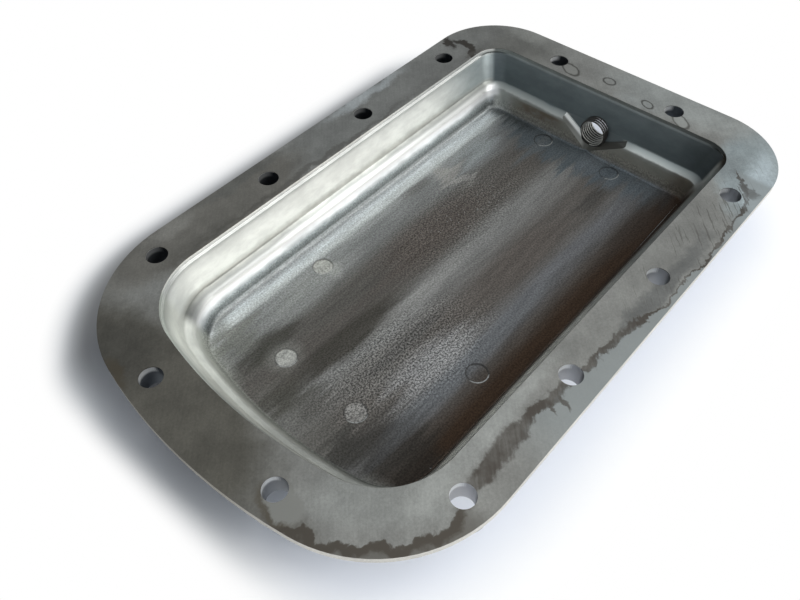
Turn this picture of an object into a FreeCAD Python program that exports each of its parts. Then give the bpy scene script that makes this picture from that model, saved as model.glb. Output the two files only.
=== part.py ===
import FreeCAD, Part
import math
import os

# Engine oil pan: one die-cast aluminium piece, standing on its flat underside.
# Millimetres. +Z is up, through the open side. +X points to the end with the drain hole.
# The origin is on the ground under the middle of the pan's own outer box.

# Heights
POCKET_DEPTH = 27.5
FLOOR_THICKNESS = 4.0
FLANGE_THICKNESS = 5.0
BOLT_BOSS_DEPTH = 10.0

# Flange outline, seen from above
FLANGE_HALF_LENGTH = 139.5
FLANGE_HALF_WIDTH = 89.5
FLANGE_FAR_CORNER_R = 35.0
FLANGE_NEAR_CORNER_R = 54.5
FLANGE_NEAR_BOW_R = 228.0
FLANGE_EDGE_CHAMFER = 2.0

# Width of the flange face, from its outer edge to the pocket rim
FLANGE_FACE_FAR = 21.8
FLANGE_FACE_NEAR = 23.4
FLANGE_FACE_SIDE = 21.9

# Pocket rim, in the flange face
RIM_FAR_CORNER_R = 12.5
RIM_NEAR_CORNER_R = 31.0
RIM_NEAR_BOW_R = 205.0

# Pocket section. Each inset is measured inwards from the rim.
LIP_DEPTH = 1.7
LIP_INSET = 0.2
WALL_TOP_DEPTH = 2.7
WALL_TOP_INSET = 0.8
WALL_FOOT_DEPTH = 15.9
WALL_FOOT_INSET = 4.9
LEDGE_DEPTH = 18.3
LEDGE_INSET = 7.6
FLOOR_INSET = 11.0
NEAR_END_EXTRA_INSET = 2.8
WALL_CORNER_R = 9.0
LEDGE_CORNER_R = 7.0
FLOOR_CORNER_R = 5.5

# Fillets inside the pocket
WALL_FOOT_FILLET = 1.6
LEDGE_ROUND = 4.0
FLOOR_FILLET = 2.2

# Outer skin of the bowl: how far it stands outside the rim line, top and bottom
SKIN_TOP_OUTSET = 4.0
SKIN_BASE_OUTSET = -6.0
SKIN_BASE_CHAMFER = 3.0
FLANGE_ROOT_CHAMFER = 2.0

# Bolt holes
BOLT_HOLE_R = 4.5
BOLT_BOSS_R = 9.0
BOLT_BOSS_DRAFT = 0.5
BOLT_BOSS_CHAMFER = 1.0
BOLT_PITCH = 60.0
SIDE_ROW_COUNT = 4
SIDE_ROW_CENTRE_X = 0.5
END_BOLT_Y = 32.1

# Bolt centres, measured in from the flange's outer edge
BOLT_EDGE_SIDE = 11.3
BOLT_EDGE_FAR = 13.2
BOLT_EDGE_NEAR = 12.7

# Web that joins each bolt boss to the bowl, down to the same seat as the boss
BOSS_WEB_WIDTH = 11.0
BOSS_WEB_REACH = 3.0

# Drain hole through the far wall, and the V-shaped gutter that leads down to it
DRAIN_HOLE_R = 7.0
DRAIN_Y = -1.7
DRAIN_AXIS_DEPTH = 18.4
DRAIN_BOSS_R = 12.0
DRAIN_FACE_OUTSET = 2.9
DRAIN_BOSS_CHAMFER = 0.8
DRAIN_MOUTH_CHAMFER = 0.6
GUTTER_POINT_ABOVE_HOLE = 1.3
GUTTER_SLOPE_DEG = 18.0
GUTTER_FALL_DEG = 45.0
GUTTER_BOTTOM_ROUND = 2.0
GUTTER_FILLET = 1.0
DRAIN_CUT_REACH = 16.0

# Ejector pin marks on the pocket floor: a pair at each end, measured in from the rim's
# ends, and a wider pair between them, measured in from the rim's long sides
EJECTOR_MARK_R = 4.3
EJECTOR_MARK_DEPTH = 0.25
EJECTOR_END_PAIR_Y = 19.3
EJECTOR_FAR_SETBACK = 17.9
EJECTOR_NEAR_SETBACK = 37.2
EJECTOR_MIDDLE_X = -34.7
EJECTOR_SIDE_SETBACK = 24.6

# Places that follow from the sizes above
FLOOR_Z = FLOOR_THICKNESS
TOP_Z = FLOOR_Z + POCKET_DEPTH
FLANGE_UNDERSIDE_Z = TOP_Z - FLANGE_THICKNESS
RIM_FAR_X = FLANGE_HALF_LENGTH - FLANGE_FACE_FAR
RIM_NEAR_X = FLANGE_FACE_NEAR - FLANGE_HALF_LENGTH
RIM_HALF_WIDTH = FLANGE_HALF_WIDTH - FLANGE_FACE_SIDE
SIDE_ROW_Y = FLANGE_HALF_WIDTH - BOLT_EDGE_SIDE
FAR_END_BOLT_X = FLANGE_HALF_LENGTH - BOLT_EDGE_FAR
NEAR_END_BOLT_X = BOLT_EDGE_NEAR - FLANGE_HALF_LENGTH
DRAIN_Z = TOP_Z - DRAIN_AXIS_DEPTH
DRAIN_FACE_X = RIM_FAR_X + DRAIN_FACE_OUTSET


def vector(x, y, z):
    return FreeCAD.Vector(x, y, z)


def arc(centre, radius, start_angle, end_angle, z):
    """Return an arc edge round a centre, with angles in radians."""
    points = []
    for angle in (start_angle, 0.5 * (start_angle + end_angle), end_angle):
        x = centre[0] + radius * math.cos(angle)
        y = centre[1] + radius * math.sin(angle)
        points.append(vector(x, y, z))
    return Part.Arc(points[0], points[1], points[2]).toShape()


def pan_outline(far_x, near_x, half_width, far_r, near_r, bow_r, z):
    """Closed outline with a straight far end and a bowed near end."""
    bow_x = near_x + bow_r
    corner_y = half_width - near_r
    corner_x = bow_x - math.sqrt((bow_r - near_r) ** 2 - corner_y ** 2)
    lean = math.atan2(corner_y, bow_x - corner_x)
    far_y = half_width - far_r
    half_turn = math.pi / 2.0
    return Part.Wire([
        Part.makeLine(vector(far_x, -far_y, z), vector(far_x, far_y, z)),
        arc((far_x - far_r, far_y), far_r, 0.0, half_turn, z),
        Part.makeLine(vector(far_x - far_r, half_width, z), vector(corner_x, half_width, z)),
        arc((corner_x, corner_y), near_r, half_turn, math.pi - lean, z),
        arc((bow_x, 0.0), bow_r, math.pi - lean, math.pi + lean, z),
        arc((corner_x, -corner_y), near_r, math.pi + lean, 3.0 * half_turn, z),
        Part.makeLine(vector(corner_x, -half_width, z), vector(far_x - far_r, -half_width, z)),
        arc((far_x - far_r, -far_y), far_r, 3.0 * half_turn, 4.0 * half_turn, z),
    ])


def rim_offset(inset, corner_r, z):
    """The rim outline moved inwards, with the near end drawn in a little more."""
    near_inset = inset * (1.0 + NEAR_END_EXTRA_INSET / FLOOR_INSET)
    return pan_outline(
        RIM_FAR_X - inset,
        RIM_NEAR_X + near_inset,
        RIM_HALF_WIDTH - inset,
        corner_r,
        RIM_NEAR_CORNER_R - inset,
        RIM_NEAR_BOW_R - near_inset,
        z,
    )


def loft(outlines):
    return Part.makeLoft(outlines, True, True)


def edges_at(shape, z, tolerance=0.01):
    """Edges that lie wholly at one height."""
    found = []
    for edge in shape.Edges:
        box = edge.BoundBox
        if abs(box.ZMin - z) < tolerance and abs(box.ZMax - z) < tolerance:
            found.append(edge)
    return found


def bolt_places():
    """Centre of every bolt hole, with the direction from it to the bowl."""
    places = []
    first_x = SIDE_ROW_CENTRE_X - 0.5 * BOLT_PITCH * (SIDE_ROW_COUNT - 1)
    for index in range(SIDE_ROW_COUNT):
        x = first_x + BOLT_PITCH * index
        places.append((x, SIDE_ROW_Y, 0.0, -1.0))
        places.append((x, -SIDE_ROW_Y, 0.0, 1.0))
    for y in (END_BOLT_Y, -END_BOLT_Y):
        places.append((FAR_END_BOLT_X, y, -1.0, 0.0))
        places.append((NEAR_END_BOLT_X, y, 1.0, 0.0))
    return places


def make_flange():
    outline = pan_outline(
        FLANGE_HALF_LENGTH,
        -FLANGE_HALF_LENGTH,
        FLANGE_HALF_WIDTH,
        FLANGE_FAR_CORNER_R,
        FLANGE_NEAR_CORNER_R,
        FLANGE_NEAR_BOW_R,
        FLANGE_UNDERSIDE_Z,
    )
    plate = Part.Face(outline).extrude(vector(0, 0, FLANGE_THICKNESS))
    return plate.makeChamfer(FLANGE_EDGE_CHAMFER, edges_at(plate, FLANGE_UNDERSIDE_Z))


def make_bowl():
    """The drafted outer skin, solid for now, with its bevelled foot."""
    top = rim_offset(-SKIN_TOP_OUTSET, RIM_FAR_CORNER_R + SKIN_TOP_OUTSET, TOP_Z)
    base = rim_offset(-SKIN_BASE_OUTSET, RIM_FAR_CORNER_R, 0.0)
    skin = loft([base, top])
    return skin.makeChamfer(SKIN_BASE_CHAMFER, edges_at(skin, 0.0))


def make_pocket():
    """The hollow as a solid: lip, drafted wall, sloping ledge, skirt and floor."""
    ledge_z = TOP_Z - LEDGE_DEPTH
    foot_z = TOP_Z - WALL_FOOT_DEPTH
    sections = [
        rim_offset(FLOOR_INSET, FLOOR_CORNER_R, FLOOR_Z),
        rim_offset(LEDGE_INSET, LEDGE_CORNER_R, ledge_z),
        rim_offset(WALL_FOOT_INSET, WALL_CORNER_R, foot_z),
        rim_offset(WALL_TOP_INSET, WALL_CORNER_R, TOP_Z - WALL_TOP_DEPTH),
        rim_offset(LIP_INSET, RIM_FAR_CORNER_R, TOP_Z - LIP_DEPTH),
        rim_offset(0.0, RIM_FAR_CORNER_R, TOP_Z),
    ]
    pocket = loft(sections)
    pocket = pocket.makeFillet(FLOOR_FILLET, edges_at(pocket, FLOOR_Z))
    pocket = pocket.makeFillet(LEDGE_ROUND, edges_at(pocket, ledge_z))
    return pocket.makeFillet(WALL_FOOT_FILLET, edges_at(pocket, foot_z))


def wall_inset(depth):
    """Inset of the upper wall's plane at a depth, also below the ledge."""
    draft = (WALL_FOOT_INSET - WALL_TOP_INSET) / (WALL_FOOT_DEPTH - WALL_TOP_DEPTH)
    return WALL_TOP_INSET + draft * (depth - WALL_TOP_DEPTH)


def make_gutter():
    """V-shaped gutter cut through ledge and skirt, falling from the drain hole to the floor.

    It ends on the plane of the upper wall, which shows again inside the V. Its height clears
    the ledge of the far end, while its top corners stay short of the ledges along the sides.
    """
    slope = math.radians(GUTTER_SLOPE_DEG)
    point_depth = DRAIN_AXIS_DEPTH + DRAIN_HOLE_R - GUTTER_POINT_ABOVE_HOLE
    height = 0.5 * POCKET_DEPTH
    run = 2.0 * POCKET_DEPTH
    fall = run * math.tan(math.radians(GUTTER_FALL_DEG))
    point_x = RIM_FAR_X - wall_inset(point_depth)
    start_x = point_x + 0.5 * run
    point_z = TOP_Z - point_depth + 0.5 * fall
    half_width = height / math.tan(slope)
    tangent = GUTTER_BOTTOM_ROUND * math.tan(slope)
    tangent_y = tangent * math.cos(slope)
    tangent_z = point_z + tangent * math.sin(slope)
    bottom_z = point_z + GUTTER_BOTTOM_ROUND * (1.0 / math.cos(slope) - 1.0)
    left_top = vector(start_x, DRAIN_Y + half_width, point_z + height)
    left_low = vector(start_x, DRAIN_Y + tangent_y, tangent_z)
    bottom = vector(start_x, DRAIN_Y, bottom_z)
    right_low = vector(start_x, DRAIN_Y - tangent_y, tangent_z)
    right_top = vector(start_x, DRAIN_Y - half_width, point_z + height)
    profile = Part.Wire([
        Part.makeLine(left_top, left_low),
        Part.Arc(left_low, bottom, right_low).toShape(),
        Part.makeLine(right_low, right_top),
        Part.makeLine(right_top, left_top),
    ])
    prism = Part.Face(profile).extrude(vector(-run, 0, -fall))
    envelope = loft([
        rim_offset(wall_inset(POCKET_DEPTH), WALL_CORNER_R, FLOOR_Z),
        rim_offset(WALL_TOP_INSET, WALL_CORNER_R, TOP_Z - WALL_TOP_DEPTH),
    ])
    gutter = prism.common(envelope)
    wall_foot_x = RIM_FAR_X - wall_inset(POCKET_DEPTH)
    end_edges = []
    for edge in gutter.Edges:
        middle = edge.valueAt(0.5 * (edge.FirstParameter + edge.LastParameter))
        level = edge.BoundBox.ZLength < 0.01
        if middle.x > wall_foot_x and abs(middle.y) < RIM_HALF_WIDTH - FLOOR_INSET and not level:
            end_edges.append(edge)
    return gutter.makeFillet(GUTTER_FILLET, end_edges)


def make_bolt_bosses():
    bosses = []
    height = BOLT_BOSS_DEPTH
    for x, y, to_bowl_x, to_bowl_y in bolt_places():
        boss = Part.makeCone(
            BOLT_BOSS_R,
            BOLT_BOSS_R + BOLT_BOSS_DRAFT,
            height,
            vector(x, y, TOP_Z - height),
        )
        foot = edges_at(boss, TOP_Z - height)
        bosses.append(boss.makeChamfer(BOLT_BOSS_CHAMFER, foot))
    return bosses


def make_boss_webs():
    """A flat-bottomed web from each boss into the drafted skin of the bowl."""
    webs = []
    seat_z = TOP_Z - BOLT_BOSS_DEPTH
    height = FLANGE_UNDERSIDE_Z - seat_z
    for x, y, to_bowl_x, to_bowl_y in bolt_places():
        if to_bowl_x == 0.0:
            length = abs(y) - RIM_HALF_WIDTH + BOSS_WEB_REACH
        elif to_bowl_x < 0.0:
            length = x - RIM_FAR_X + BOSS_WEB_REACH
        else:
            length = RIM_NEAR_X - x + BOSS_WEB_REACH
        side = vector(-to_bowl_y, to_bowl_x, 0) * (0.5 * BOSS_WEB_WIDTH)
        reach = vector(to_bowl_x, to_bowl_y, 0) * length
        corner = vector(x, y, seat_z) - side
        far_corner = corner + reach
        outline = Part.makePolygon([
            corner,
            far_corner,
            far_corner + side * 2.0,
            corner + side * 2.0,
            corner,
        ])
        webs.append(Part.Face(outline).extrude(vector(0, 0, height)))
    return webs


def ejector_places():
    side_y = RIM_HALF_WIDTH - EJECTOR_SIDE_SETBACK
    places = []
    for side in (1.0, -1.0):
        places.append((RIM_FAR_X - EJECTOR_FAR_SETBACK, side * EJECTOR_END_PAIR_Y))
        places.append((EJECTOR_MIDDLE_X, side * side_y))
        places.append((RIM_NEAR_X + EJECTOR_NEAR_SETBACK, side * EJECTOR_END_PAIR_Y))
    return places


def make_drain_boss():
    start_x = RIM_FAR_X - WALL_FOOT_INSET
    length = DRAIN_FACE_X - start_x
    boss = Part.makeCylinder(
        DRAIN_BOSS_R,
        length,
        vector(start_x, DRAIN_Y, DRAIN_Z),
        vector(1, 0, 0),
    )
    rim = [e for e in boss.Edges if abs(e.BoundBox.XMin - DRAIN_FACE_X) < 0.01]
    return boss.makeChamfer(DRAIN_BOSS_CHAMFER, rim)


def make_drain_hole():
    start_x = RIM_FAR_X - DRAIN_CUT_REACH
    hole = Part.makeCylinder(
        DRAIN_HOLE_R,
        DRAIN_FACE_X - start_x + 1.0,
        vector(start_x, DRAIN_Y, DRAIN_Z),
        vector(1, 0, 0),
    )
    mouth = Part.makeCone(
        DRAIN_HOLE_R,
        DRAIN_HOLE_R + DRAIN_MOUTH_CHAMFER,
        DRAIN_MOUTH_CHAMFER,
        vector(DRAIN_FACE_X - DRAIN_MOUTH_CHAMFER, DRAIN_Y, DRAIN_Z),
        vector(1, 0, 0),
    )
    return hole.fuse(mouth)


def make_oil_pan():
    bowl = make_bowl()
    body = make_flange().fuse(bowl)
    roots = []
    for edge in edges_at(body, FLANGE_UNDERSIDE_Z):
        if edge.distToShape(bowl)[0] < 0.01:
            roots.append(edge)
    body = body.makeChamfer(FLANGE_ROOT_CHAMFER, roots)
    body = body.fuse(make_bolt_bosses() + make_boss_webs() + [make_drain_boss()])
    body = body.cut(make_pocket())
    body = body.cut(make_gutter())
    for x, y, to_bowl_x, to_bowl_y in bolt_places():
        hole = Part.makeCylinder(
            BOLT_HOLE_R,
            BOLT_BOSS_DEPTH + 2.0,
            vector(x, y, TOP_Z - BOLT_BOSS_DEPTH - 1.0),
        )
        body = body.cut(hole)
    for x, y in ejector_places():
        mark = Part.makeCylinder(
            EJECTOR_MARK_R,
            EJECTOR_MARK_DEPTH + 1.0,
            vector(x, y, FLOOR_Z - EJECTOR_MARK_DEPTH),
        )
        body = body.cut(mark)
    return body.cut(make_drain_hole())


os.makedirs("parts", exist_ok=True)
oil_pan = make_oil_pan().removeSplitter().Solids[0]
oil_pan.exportStep("parts/oil_pan.step")
print("solid is valid:", oil_pan.isValid())
print("mass in die-cast aluminium:", round(oil_pan.Volume * 2.7e-6, 3), "kg")
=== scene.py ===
# %% [markdown]
# An engine oil pan, die-cast in aluminium and seen from its near right corner.
# The shape comes from the CAD model. This file adds the camera, the light, the paper that
# the pan lies on, the used metal finish and the screw thread in the drain hole.

import bpy
import math
from mathutils import Matrix, Vector


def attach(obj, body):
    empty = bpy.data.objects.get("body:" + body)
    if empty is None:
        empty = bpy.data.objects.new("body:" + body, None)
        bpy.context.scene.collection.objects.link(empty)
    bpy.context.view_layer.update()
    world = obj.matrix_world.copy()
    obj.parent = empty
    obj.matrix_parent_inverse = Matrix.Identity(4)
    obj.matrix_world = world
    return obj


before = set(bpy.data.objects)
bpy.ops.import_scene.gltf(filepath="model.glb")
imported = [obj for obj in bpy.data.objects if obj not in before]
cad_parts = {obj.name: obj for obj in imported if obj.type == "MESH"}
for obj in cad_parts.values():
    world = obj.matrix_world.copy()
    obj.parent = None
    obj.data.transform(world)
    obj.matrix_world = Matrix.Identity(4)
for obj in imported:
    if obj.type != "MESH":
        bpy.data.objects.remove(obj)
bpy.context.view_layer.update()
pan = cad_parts["oil_pan"]


def rounded(values, digits=4):
    return tuple(round(value, digits) for value in values)


# %% [markdown]
# The camera stands close to the pan, above its near right corner. A camera can be placed by
# eye, or worked out from points whose real places are known. Here the twelve bolt holes gave
# its place and tilt, because their spacing is known, and that keeps every edge in its place.

# %% Camera
LENS_MM = 34.446
CAMERA_PLACE = (-0.178092, -0.135390, 0.254930)
CAMERA_RIGHT = (0.66380898, -0.74771677, -0.01665148)
CAMERA_UP = (0.58499573, 0.5052191, 0.6344554)
CAMERA_BACK = (-0.46598029, -0.43089823, 0.7727801)

camera_data = bpy.data.cameras.new("camera")
camera_data.sensor_width = 36.0
camera_data.sensor_fit = "HORIZONTAL"
camera_data.lens = LENS_MM
camera_data.clip_start = 0.01
camera = bpy.data.objects.new("camera", camera_data)
tilt = Matrix((CAMERA_RIGHT, CAMERA_UP, CAMERA_BACK)).transposed()
camera.matrix_world = Matrix.Translation(CAMERA_PLACE) @ tilt.to_4x4()
bpy.context.scene.collection.objects.link(camera)
bpy.context.scene.camera = camera
print("camera at", rounded(camera.location, 3), "with a", round(LENS_MM, 1), "mm lens")

# %% [markdown]
# Materials are built from many small nodes. Writing each one out would hide what they do,
# so a few short calls make a node, link it and hand back its result. A link or a plain
# number may be given to any of them.

# %% Short calls for building shader nodes
MM_PER_METRE = 1000.0


def add_node(tree, kind, **settings):
    node = tree.nodes.new(kind)
    for key, setting in settings.items():
        setattr(node, key, setting)
    return node


def connect(tree, source, socket):
    """Link an output to a socket, or write a plain number, vector or colour on it."""
    if isinstance(source, bpy.types.NodeSocket):
        tree.links.new(source, socket)
    else:
        socket.default_value = source


def arithmetic(tree, operation, first, second=None, third=None):
    node = add_node(tree, "ShaderNodeMath", operation=operation)
    for socket, source in zip(node.inputs, (first, second, third)):
        if source is not None:
            connect(tree, source, socket)
    return node.outputs[0]


def product(tree, *factors):
    """Several masks or numbers multiplied together."""
    result = factors[0]
    for factor in factors[1:]:
        result = arithmetic(tree, "MULTIPLY", result, factor)
    return result


def minus(tree, first, second):
    return arithmetic(tree, "SUBTRACT", first, second)


def vector_arithmetic(tree, operation, first, second):
    node = add_node(tree, "ShaderNodeVectorMath", operation=operation)
    connect(tree, first, node.inputs[0])
    connect(tree, second, node.inputs[1])
    return node.outputs["Value" if operation == "DOT_PRODUCT" else "Vector"]


def vector_minus(tree, first, second):
    return vector_arithmetic(tree, "SUBTRACT", first, second)


def stretched(tree, position, factors):
    return vector_arithmetic(tree, "MULTIPLY", position, factors)


def vector_length(tree, source):
    node = add_node(tree, "ShaderNodeVectorMath", operation="LENGTH")
    connect(tree, source, node.inputs[0])
    return node.outputs["Value"]


def split(tree, source):
    node = add_node(tree, "ShaderNodeSeparateXYZ")
    connect(tree, source, node.inputs["Vector"])
    return tuple(node.outputs)


def joined(tree, x, y):
    node = add_node(tree, "ShaderNodeCombineXYZ")
    connect(tree, x, node.inputs["X"])
    connect(tree, y, node.inputs["Y"])
    return node.outputs["Vector"]


def straight_step(tree, source, low, high, out_low=0.0, out_high=1.0, course="LINEAR"):
    """Go from one output level to another as the source goes from low to high."""
    node = add_node(tree, "ShaderNodeMapRange", interpolation_type=course)
    connect(tree, source, node.inputs["Value"])
    connect(tree, low, node.inputs["From Min"])
    connect(tree, high, node.inputs["From Max"])
    connect(tree, out_low, node.inputs["To Min"])
    connect(tree, out_high, node.inputs["To Max"])
    return node.outputs["Result"]


def smooth_step(tree, source, low, high, out_low=0.0, out_high=1.0):
    """The same, eased at both ends."""
    return straight_step(tree, source, low, high, out_low, out_high, "SMOOTHSTEP")


def between(tree, source, start, full, full_end, end):
    """A mask that rises from start to full and falls from full_end to end."""
    return product(
        tree,
        smooth_step(tree, source, start, full),
        smooth_step(tree, source, full_end, end, 1.0, 0.0),
    )


def mix_number(tree, factor, under, over):
    node = add_node(tree, "ShaderNodeMix", data_type="FLOAT")
    for socket, source in zip(node.inputs, (factor, None, under, over)):
        if source is not None:
            connect(tree, source, socket)
    return node.outputs[0]


def mix_colour(tree, factor, under, over, blend="MIX"):
    node = add_node(tree, "ShaderNodeMix", data_type="RGBA", blend_type=blend)
    connect(tree, factor, node.inputs[0])
    connect(tree, under, node.inputs[6])
    connect(tree, over, node.inputs[7])
    return node.outputs[2]


def cover(tree, under, colour, *masks):
    """Lay one plain colour over another colour, where the masks together let it."""
    return mix_colour(tree, product(tree, *masks), under, (*colour, 1.0))


def in_light(tree, colour, light):
    """A colour made lighter or darker by a plain number, such as grain."""
    grey = add_node(tree, "ShaderNodeCombineColor")
    for channel in grey.inputs:
        connect(tree, light, channel)
    return mix_colour(tree, 1.0, colour, grey.outputs["Color"], "MULTIPLY")


def mix_shader(tree, share, under, over):
    node = add_node(tree, "ShaderNodeMixShader")
    connect(tree, share, node.inputs["Fac"])
    connect(tree, under.outputs[0], node.inputs[1])
    connect(tree, over.outputs[0], node.inputs[2])
    return node.outputs["Shader"]


def millimetres(tree):
    """Object coordinates in millimetres, as the part's drawing has them."""
    coordinates = add_node(tree, "ShaderNodeTexCoord")
    return stretched(tree, coordinates.outputs["Object"], (MM_PER_METRE,) * 3)


print("short calls ready")

# %% [markdown]
# Daylight from a window on the pan's right side makes the left wall of the pocket bright and
# leaves the far wall dark. A sun lamp would give hard edges, so two large area lamps stand
# far away: a low one for the window and a weaker one above it. Far lamps light the near and
# the far end alike. A pale world fills the shadows. The camera sees it as a white backdrop,
# and metal mirrors that white low down, where the paper ends.

# %% Lamps and room
DAYLIGHT = (1.0, 0.99, 0.97)
LAMP_DISTANCE = 6.4
LAMPS = (
    # name, direction from the pan, size, power
    ("window_light", (0.35, -0.85, 0.55), 2.8, 344.0),
    ("top_light", (0.35, -0.45, 1.0), 3.6, 136.0),
)
ROOM_COLOUR = (0.88, 0.94, 1.0, 1.0)
ROOM_STRENGTH = 0.45
WHITE = (1.0, 1.0, 1.0, 1.0)
WHITE_STRENGTH = 1.0


def area_light(name, direction, size, power):
    data = bpy.data.lights.new(name, "AREA")
    data.shape = "SQUARE"
    data.size = size
    data.energy = power
    data.color = DAYLIGHT
    light = bpy.data.objects.new(name, data)
    away = Vector(direction).normalized()
    light.location = away * LAMP_DISTANCE
    light.rotation_mode = "QUATERNION"
    light.rotation_quaternion = away.to_track_quat("Z", "Y")
    bpy.context.scene.collection.objects.link(light)
    print(name, "at", rounded(light.location, 2))


for lamp in LAMPS:
    area_light(*lamp)

world = bpy.data.worlds.new("room")
bpy.context.scene.world = world
world.use_nodes = True
world_tree = world.node_tree
world_tree.nodes.clear()
room = add_node(world_tree, "ShaderNodeBackground")
room.inputs["Color"].default_value = ROOM_COLOUR
room.inputs["Strength"].default_value = ROOM_STRENGTH
backdrop = add_node(world_tree, "ShaderNodeBackground")
backdrop.inputs["Color"].default_value = WHITE
backdrop.inputs["Strength"].default_value = WHITE_STRENGTH
view = add_node(world_tree, "ShaderNodeTexCoord").outputs["Generated"]
low_down = straight_step(world_tree, split(world_tree, view)[2], 0.05, 0.25, 1.0, 0.0)
rays = add_node(world_tree, "ShaderNodeLightPath").outputs
mirrored = arithmetic(
    world_tree, "MAXIMUM", rays["Is Glossy Ray"], rays["Is Transmission Ray"]
)
mirrored = product(world_tree, mirrored, low_down)
seen = arithmetic(world_tree, "MAXIMUM", rays["Is Camera Ray"], mirrored)
light_or_white = mix_shader(world_tree, seen, room, backdrop)
output = add_node(world_tree, "ShaderNodeOutputWorld")
connect(world_tree, light_or_white, output.inputs["Surface"])
print("room: pale blue light, white backdrop")

# %% [markdown]
# The pan lies on white paper. Lit paper alone turns grey where it lies in shadow, far
# beyond the pan. So the paper is mixed with a plain white glow, which only the camera,
# mirror-like rays and clear materials see, and which starts a little way outside the pan.
# Near the pan the real shadow stays. Painted shade helps it along the left side, by the near left
# corner and under the left rim, and a painted blue shade tints the paper just outside the flange.
# All of this goes by the distance from two boxes with rounded corners.

# %% White paper with the pan's shadow
FLANGE_HALF = (139.5, 89.5)
FLANGE_CORNER = 46.0
SHADOW_MIDDLE = (9.0, 10.5)
SHADOW_HALF = (157.0, 115.5)
SHADOW_CORNER = 74.0
PAPER_ROUGHNESS = 0.8
LIT_PAPER = (0.93, 0.93, 0.935, 1.0)
BLUE_SHADE = (0.60, 0.67, 0.82)
FLOOR_RADIUS = 4.0


def beyond_rounded_box(tree, place, middle, half, corner):
    """Distance outside a box with rounded corners, less than 0 inside it."""
    sides = []
    for along, centre, reach in zip(place, middle, half):
        off_centre = arithmetic(tree, "ABSOLUTE", minus(tree, along, centre))
        beyond_side = minus(tree, off_centre, reach - corner)
        sides.append(arithmetic(tree, "MAXIMUM", beyond_side, 0.0))
    return minus(tree, vector_length(tree, joined(tree, *sides)), corner)


paper = bpy.data.materials.new("white_paper")
paper.use_nodes = True
paper_tree = paper.node_tree
paper_shader = paper_tree.nodes["Principled BSDF"]
paper_shader.inputs["Roughness"].default_value = PAPER_ROUGHNESS
paper_place = split(paper_tree, millimetres(paper_tree))[:2]
beyond_pan = beyond_rounded_box(paper_tree, paper_place, (0.0, 0.0), FLANGE_HALF, FLANGE_CORNER)
under_left_shade = product(
    paper_tree,
    smooth_step(paper_tree, beyond_pan, -14.0, -6.0, 0.85, 0.0),
    smooth_step(paper_tree, paper_place[1], 20.0, 40.0),
)
beyond_shadow = beyond_rounded_box(
    paper_tree, paper_place, SHADOW_MIDDLE, SHADOW_HALF, SHADOW_CORNER
)
near_end_light = product(
    paper_tree,
    smooth_step(paper_tree, paper_place[0], -60.0, -125.0, 0.0, 8.5),
    smooth_step(paper_tree, paper_place[1], 55.0, 90.0, 1.0, 0.0),
)
edge_shade = product(
    paper_tree,
    smooth_step(paper_tree, beyond_pan, -8.0, 12.0, 0.55, 0.0),
    smooth_step(paper_tree, paper_place[0], -60.0, -110.0),
    smooth_step(paper_tree, paper_place[1], -30.0, 20.0),
)
beyond_pan = arithmetic(paper_tree, "ADD", beyond_pan, near_end_light)
beyond_shadow = arithmetic(paper_tree, "MULTIPLY_ADD", near_end_light, 0.45, beyond_shadow)
glow_share = product(
    paper_tree,
    smooth_step(paper_tree, beyond_shadow, -4.0, 11.0),
    smooth_step(paper_tree, beyond_pan, 4.0, 24.0),
)
left_side = smooth_step(paper_tree, paper_place[1], 45.0, 90.0)
deep_shade = product(
    paper_tree,
    smooth_step(paper_tree, beyond_shadow, -10.0, 5.0, 0.8, 0.0),
    left_side,
    smooth_step(paper_tree, paper_place[0], 60.0, 130.0, 1.0, 0.0),
)
near_shade = smooth_step(paper_tree, beyond_pan, -6.0, 20.0, 0.5, 0.0)
# Painted shade: blue by the flange, dark along the left side, under the left rim and by the near
# left corner.
paper_colour = cover(paper_tree, LIT_PAPER, BLUE_SHADE, near_shade)
paper_colour = cover(paper_tree, paper_colour, (0.10, 0.10, 0.10), deep_shade)
paper_colour = cover(paper_tree, paper_colour, (0.10, 0.11, 0.12), under_left_shade)
paper_colour = cover(paper_tree, paper_colour, (0.25, 0.24, 0.24), edge_shade)
connect(paper_tree, paper_colour, paper_shader.inputs["Base Color"])
light_path = add_node(paper_tree, "ShaderNodeLightPath")
seen = light_path.outputs["Is Camera Ray"]
for kind in ("Is Glossy Ray", "Is Transmission Ray"):
    seen = arithmetic(paper_tree, "MAXIMUM", seen, light_path.outputs[kind])
glow = add_node(paper_tree, "ShaderNodeEmission")
glow.inputs["Strength"].default_value = WHITE_STRENGTH
paper_or_glow = mix_shader(paper_tree, product(paper_tree, seen, glow_share), paper_shader, glow)
connect(paper_tree, paper_or_glow, paper_tree.nodes["Material Output"].inputs["Surface"])

bpy.ops.mesh.primitive_circle_add(
    vertices=96, radius=FLOOR_RADIUS, fill_type="NGON", location=(0, 0, 0)
)
floor = bpy.context.object
floor.name = "floor"
floor.data.materials.append(paper)
print("floor:", floor.name, "with", paper.name)

# %% [markdown]
# Oil, water and handling leave stains. They could be painted on a picture, but a picture
# blurs close up. So every stain is the same small node group, a soft-edged ellipse with its
# own place, turn and size. A second group draws the thin line that dries round a drop, or
# the groove round a mark. Its Threshold can keep only the side that catches the light.

# %% Node groups: a soft-edged patch and a thin ring
PLACE_INPUTS = [
    ("Position", "Vector"),
    ("Centre", "Vector"),
    ("Lengthwise", "Vector"),
    ("Crosswise", "Vector"),
]


def add_socket(tree, name, kind, in_out="INPUT"):
    """A named input or output on the outside of a node tree."""
    return tree.interface.new_socket(
        name=name, in_out=in_out, socket_type="NodeSocket" + kind
    )


def ends(tree):
    """The tree's own inputs and outputs, as they are seen from inside."""
    given = add_node(tree, "NodeGroupInput").outputs
    return given, add_node(tree, "NodeGroupOutput").inputs


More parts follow.
